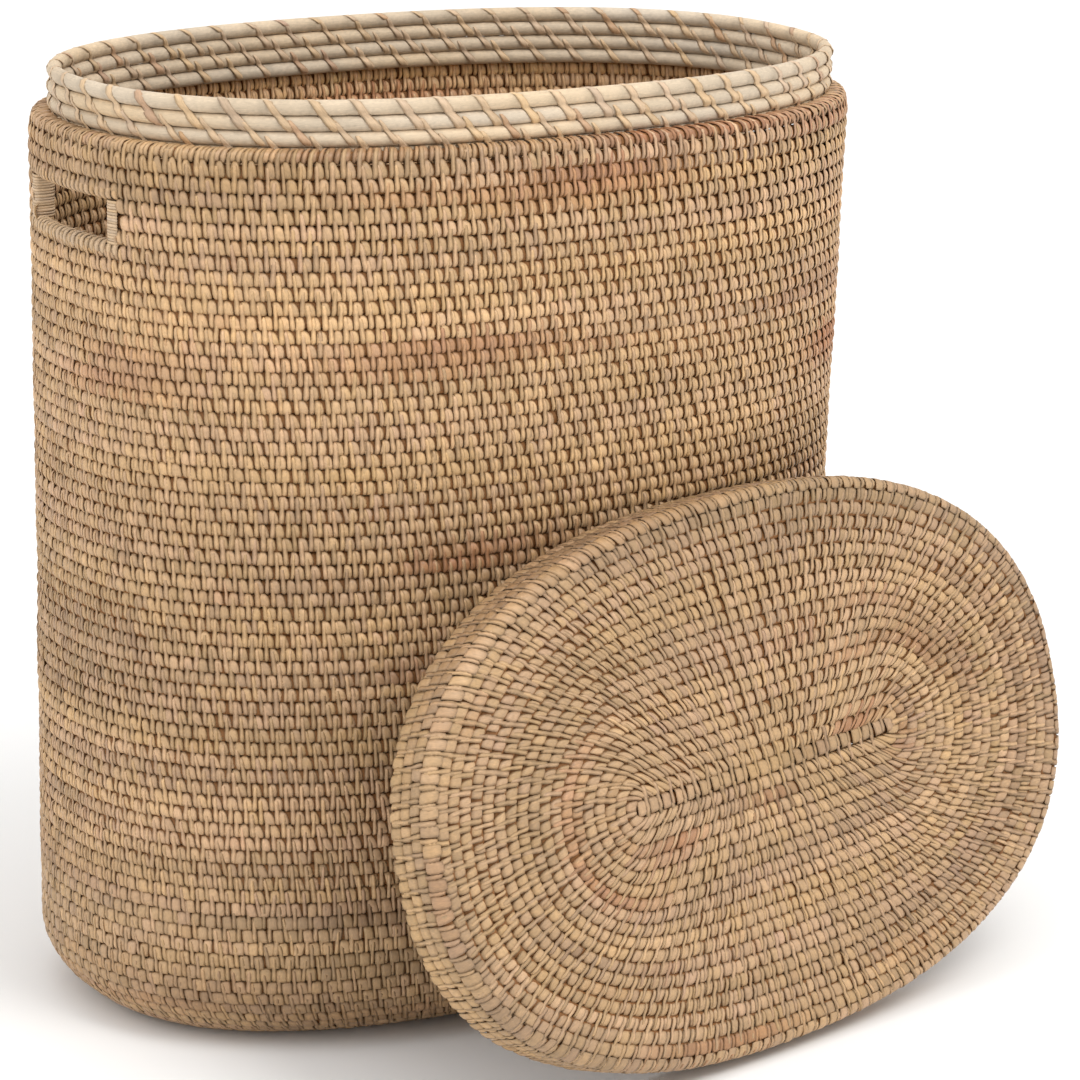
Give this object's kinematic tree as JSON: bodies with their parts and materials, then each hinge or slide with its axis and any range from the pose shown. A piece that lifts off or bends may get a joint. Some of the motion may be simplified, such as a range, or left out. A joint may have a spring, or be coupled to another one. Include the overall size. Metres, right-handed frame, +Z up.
{
  "type": "lidded laundry basket",
  "caption": "Oval coil-woven rattan laundry basket with an inset cane neck, a wrapped hand opening at each end and a flat lift-off lid leaning on its front.",
  "frame": {"origin": "on the floor, at the middle of the underside of the basket's base", "axes": "+Z up, +X along the long axis of the oval, -Y towards the front that the lid leans on"},
  "size_m": [0.6239, 0.4653, 0.5764],
  "materials": {
    "wall": "woven rattan, waxed satin",
    "wrap": "split cane wrapping, satin",
    "neck": "bare round cane, satin",
    "lid": "woven rattan, satin",
    "core": "woven rattan over a straight core"
  },
  "bodies": {
    "basket": {"base_panel": "wall", "base_core": "core", "base_turn": "wall", "wall_lower": "wall", "wall_handle_front": "wall", "wall_handle_back": "wall", "wall_upper": "wall", "shoulder_coil": "wall", "neck_cane_1": "neck", "neck_cane_2": "neck", "neck_cane_3": "neck", "neck_cane_4": "neck", "left_handle_sill": "wrap", "left_handle_grip": "wrap", "left_handle_jamb_front": "wrap", "left_handle_jamb_back": "wrap", "right_handle_sill": "wrap", "right_handle_grip": "wrap", "right_handle_jamb_front": "wrap", "right_handle_jamb_back": "wrap"},
    "lid": {"lid_panel": "lid", "lid_core": "core", "lid_edge_coil": "lid", "lid_skirt_coil_1": "lid", "lid_skirt_coil_2": "lid", "lid_skirt_coil_3": "lid"}
  },
  "joints": [
    {"name": "lid_lift", "type": "slide", "parent": "basket", "child": "lid", "axis": [0, 0, 1], "range_m": [0, 0.62]}
  ]
}
